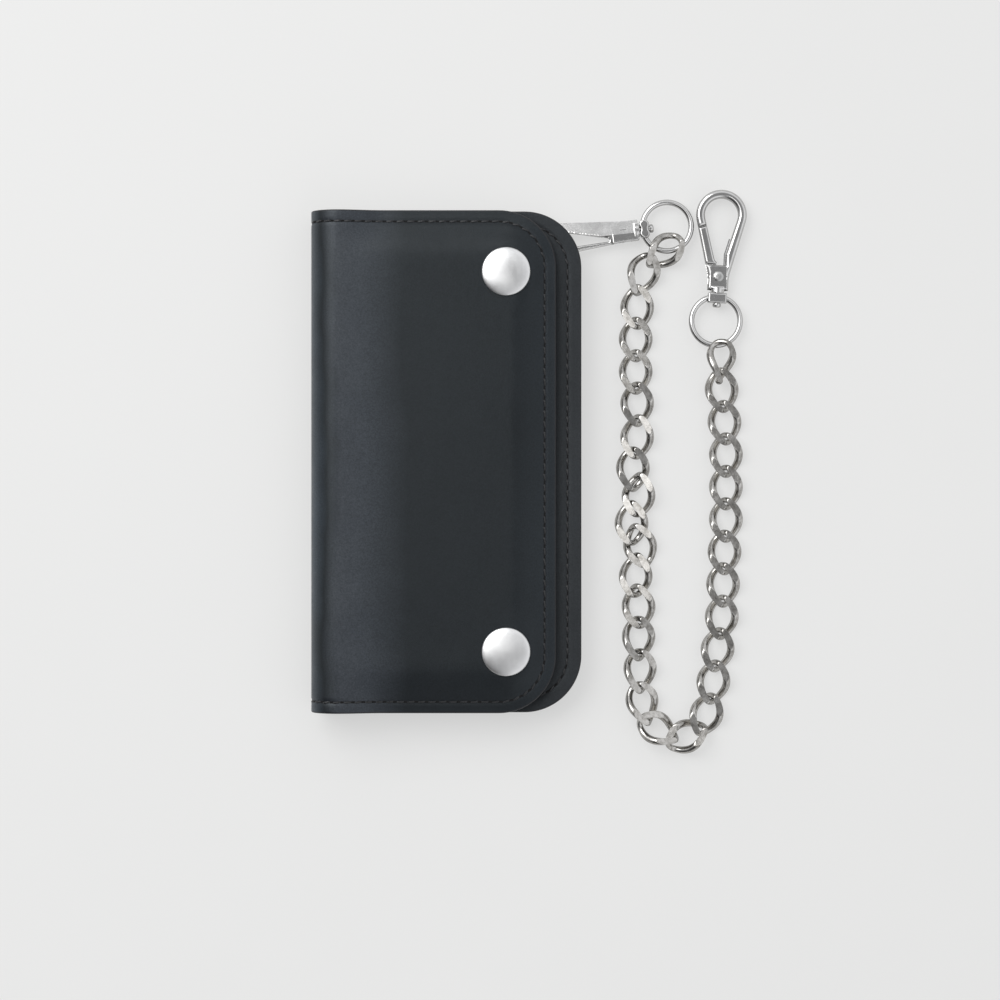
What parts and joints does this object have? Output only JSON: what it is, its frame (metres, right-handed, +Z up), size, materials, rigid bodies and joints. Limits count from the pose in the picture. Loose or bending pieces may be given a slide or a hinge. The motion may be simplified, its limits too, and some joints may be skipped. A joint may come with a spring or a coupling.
{
  "type": "chain wallet",
  "caption": "Long bifold leather wallet with snap closure and zipped coin pocket, on a metal curb chain that ends in a swivel snap hook.",
  "frame": {"origin": "under the middle of the closed wallet, on the plane that it lies on", "axes": "+X across the wallet, away from the fold, towards the chain; +Y along the fold, towards the end that the chain is fastened to; +Z up, from the back half to the front half"},
  "size_m": [0.1538, 0.1998, 0.021],
  "materials": {
    "leather": "smooth, softly glossy, blue-black",
    "lining": "matt black lining leather",
    "zip_tape": "black woven tape",
    "zip_metal": "nickel",
    "snap_metal": "nickel, worn satin",
    "chain_metal": "nickel, slightly tarnished, ground faces",
    "hook_metal": "nickel"
  },
  "bodies": {
    "wallet_back": {"back_cover": "leather", "back_divider": "lining", "back_panel": "leather", "zip_tape_left": "zip_tape", "zip_tape_right": "zip_tape", "zip_teeth_left": "zip_metal", "zip_teeth_right": "zip_metal", "zip_stop_top": "zip_metal", "zip_stop_bottom": "zip_metal", "snap_stud_top": "snap_metal", "snap_stud_bottom": "snap_metal", "snap_post_top": "snap_metal", "snap_post_bottom": "snap_metal", "hanger_strap": "leather", "hanger_rivet": "snap_metal"},
    "wallet_spine": {"spine_cover": "leather"},
    "wallet_front": {"front_cover": "leather", "front_panel": "lining", "card_slip_1": "leather", "card_slip_2": "leather", "card_slip_3": "leather", "snap_cap_top": "snap_metal", "snap_cap_bottom": "snap_metal", "snap_socket_top": "snap_metal", "snap_socket_bottom": "snap_metal"},
    "zip_runner": {"zip_slider": "zip_metal", "zip_pull": "zip_metal"},
    "wallet_hook": {"wallet_hook_body": "hook_metal", "wallet_hook_gate_rivet": "hook_metal", "wallet_hook_spring": "hook_metal", "wallet_hook_swivel_pin": "hook_metal"},
    "wallet_hook_lever": {"wallet_hook_gate": "hook_metal"},
    "wallet_hook_swivel": {"wallet_hook_swivel_collar": "hook_metal", "wallet_hook_swivel_ring": "hook_metal"},
    "chain_01": {"chain_links_01_to_03": "chain_metal"},
    "chain_02": {"chain_links_04_to_06": "chain_metal"},
    "chain_03": {"chain_links_07_to_09": "chain_metal"},
    "chain_04": {"chain_links_10_to_12": "chain_metal"},
    "chain_05": {"chain_links_13_to_15": "chain_metal"},
    "chain_06": {"chain_links_16_to_18": "chain_metal"},
    "chain_07": {"chain_links_19_to_21": "chain_metal"},
    "chain_08": {"chain_links_22_to_24": "chain_metal"},
    "chain_09": {"chain_links_25_to_27": "chain_metal"},
    "chain_10": {"chain_links_28_to_30": "chain_metal"},
    "free_hook_swivel": {"free_hook_swivel_collar": "hook_metal", "free_hook_swivel_ring": "hook_metal"},
    "free_hook": {"free_hook_body": "hook_metal", "free_hook_gate_rivet": "hook_metal", "free_hook_spring": "hook_metal", "free_hook_swivel_pin": "hook_metal"},
    "free_hook_lever": {"free_hook_gate": "hook_metal"}
  },
  "joints": [
    {"name": "fold_back_bend", "type": "hinge", "parent": "wallet_back", "child": "wallet_spine", "pos_m": [-0.04468, 0, 0.00282], "axis": [0, -1, 0], "range_deg": [0, 90]},
    {"name": "fold_front_bend", "type": "hinge", "parent": "wallet_spine", "child": "wallet_front", "pos_m": [-0.04468, 0, 0.01618], "axis": [0, -1, 0], "range_deg": [0, 90]},
    {"name": "zip_slide", "type": "slide", "parent": "wallet_back", "child": "zip_runner", "axis": [0, -1, 0], "range_m": [0, 0.129]},
    {"name": "wallet_hook_swing", "type": "hinge", "parent": "wallet_back", "child": "wallet_hook", "pos_m": [0.03703, 0.07863, 0.0028], "axis": [0, 0, 1], "range_deg": [0, 5]},
    {"name": "wallet_hook_gate_pivot", "type": "hinge", "parent": "wallet_hook", "child": "wallet_hook_lever", "pos_m": [0.06245, 0.08161, 0.0028], "axis": [0, 0, -1], "range_deg": [0, 12], "stiffness_Nm_per_rad": 0.01, "springref_deg": -17.19},
    {"name": "wallet_hook_swivel_turn", "type": "hinge", "parent": "wallet_hook", "child": "wallet_hook_swivel", "pos_m": [0.07, 0.0825, 0.0028], "axis": [-0.9932, -0.1167, 0], "continuous": true},
    {"name": "chain_joint_01", "type": "hinge", "parent": "wallet_hook_swivel", "child": "chain_01", "pos_m": [0.07824, 0.07484, 0.0025], "axis": [0, 0, -1], "range_deg": [0, 3]},
    {"name": "chain_joint_02", "type": "hinge", "parent": "chain_01", "child": "chain_02", "pos_m": [0.06725, 0.04925, 0.0025], "axis": [0, 0, -1], "range_deg": [0, 4]},
    {"name": "chain_joint_03", "type": "hinge", "parent": "chain_02", "child": "chain_03", "pos_m": [0.0675, 0.01475, 0.0025], "axis": [0, 0, -1], "range_deg": [0, 4]},
    {"name": "chain_joint_04", "type": "hinge", "parent": "chain_03", "child": "chain_04", "pos_m": [0.06675, -0.0165, 0.0025], "axis": [0, 0, -1], "range_deg": [0, 3]},
    {"name": "chain_joint_05", "type": "hinge", "parent": "chain_04", "child": "chain_05", "pos_m": [0.0675, -0.0455, 0.0025], "axis": [0, 0, -1], "range_deg": [0, 3]},
    {"name": "chain_joint_06", "type": "hinge", "parent": "chain_05", "child": "chain_06", "pos_m": [0.069, -0.07975, 0.0025], "axis": [0, 0, -1], "range_deg": [0, 50]},
    {"name": "chain_joint_07", "type": "hinge", "parent": "chain_06", "child": "chain_07", "pos_m": [0.0885, -0.09325, 0.0025], "axis": [0, 0, -1], "range_deg": [0, 50]},
    {"name": "chain_joint_08", "type": "hinge", "parent": "chain_07", "child": "chain_08", "pos_m": [0.09675, -0.06075, 0.0025], "axis": [0, 0, -1], "range_deg": [0, 45]},
    {"name": "chain_joint_09", "type": "hinge", "parent": "chain_08", "child": "chain_09", "pos_m": [0.09875, -0.02625, 0.0025], "axis": [0, 0, -1], "range_deg": [0, 30]},
    {"name": "chain_joint_10", "type": "hinge", "parent": "chain_09", "child": "chain_10", "pos_m": [0.09875, 0.00825, 0.0025], "axis": [0, 0, -1], "range_deg": [0, 50]},
    {"name": "chain_joint_11", "type": "hinge", "parent": "chain_10", "child": "free_hook_swivel", "pos_m": [0.09538, 0.04141, 0.0025], "axis": [0, 0, -1], "range_deg": [0, 8]},
    {"name": "free_hook_swivel_turn", "type": "hinge", "parent": "free_hook_swivel", "child": "free_hook", "pos_m": [0.0958, 0.0581, 0.0028], "axis": [0.0523, 0.9986, 0], "continuous": true},
    {"name": "free_hook_gate_pivot", "type": "hinge", "parent": "free_hook", "child": "free_hook_lever", "pos_m": [0.0962, 0.06569, 0.0028], "axis": [0, 0, -1], "range_deg": [0, 20], "stiffness_Nm_per_rad": 0.01, "springref_deg": -17.19}
  ],
  "couplings": [
    {"joint": "fold_front_bend", "follows": "fold_back_bend", "ratio": 1}
  ]
}
